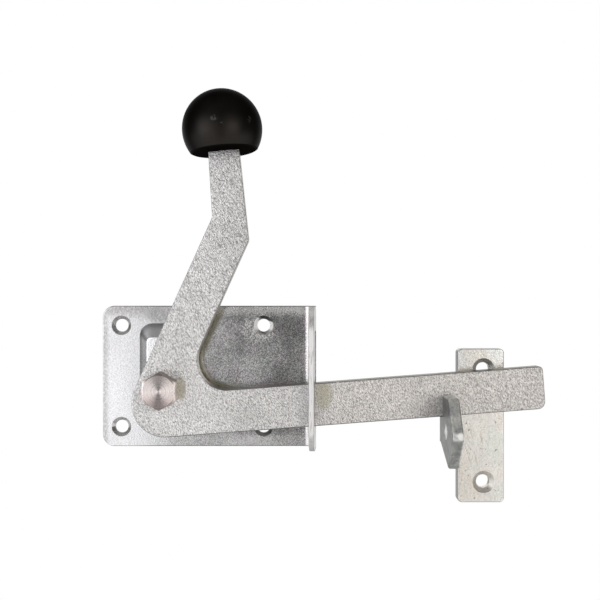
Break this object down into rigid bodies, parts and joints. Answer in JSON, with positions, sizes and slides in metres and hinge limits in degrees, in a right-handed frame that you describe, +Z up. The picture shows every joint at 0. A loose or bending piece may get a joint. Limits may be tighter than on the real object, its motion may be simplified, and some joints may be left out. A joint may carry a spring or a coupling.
{
  "type": "garden gate latch",
  "caption": "Gravity gate latch: pivoting lever with handle arm, ball knob and latch bar on a slotted base plate, with a hooked keeper plate.",
  "frame": {"origin": "centre of the base plate's four screw holes, on the mounting surface at its back", "axes": "+Y into the gate, square to the mounting surface; the front faces -Y; +X along the gate towards the keeper; +Z up"},
  "size_m": [0.2451, 0.0558, 0.2293],
  "materials": {
    "plate_zinc": "hot-dip galvanised sheet steel, satin, mottled",
    "lever_zinc": "hot-dip galvanised plate steel, rough and grainy",
    "knob_black": "moulded black plastic, satin",
    "screw_steel": "turned stainless steel",
    "nut_steel": "zinc plated steel",
    "keeper_zinc": "hot-dip galvanised plate steel, lightly pitted"
  },
  "bodies": {
    "frame": {"base_plate": "plate_zinc", "pivot_screw": "screw_steel", "pivot_nut": "nut_steel", "keeper": "keeper_zinc"},
    "lever": {"lever": "lever_zinc", "ball_knob": "knob_black"}
  },
  "joints": [
    {"name": "lever_pivot", "type": "hinge", "parent": "frame", "child": "lever", "pos_m": [-0.0155, -0.0122, -0.0065], "axis": [0, -1, 0], "range_deg": [0, 18]}
  ]
}
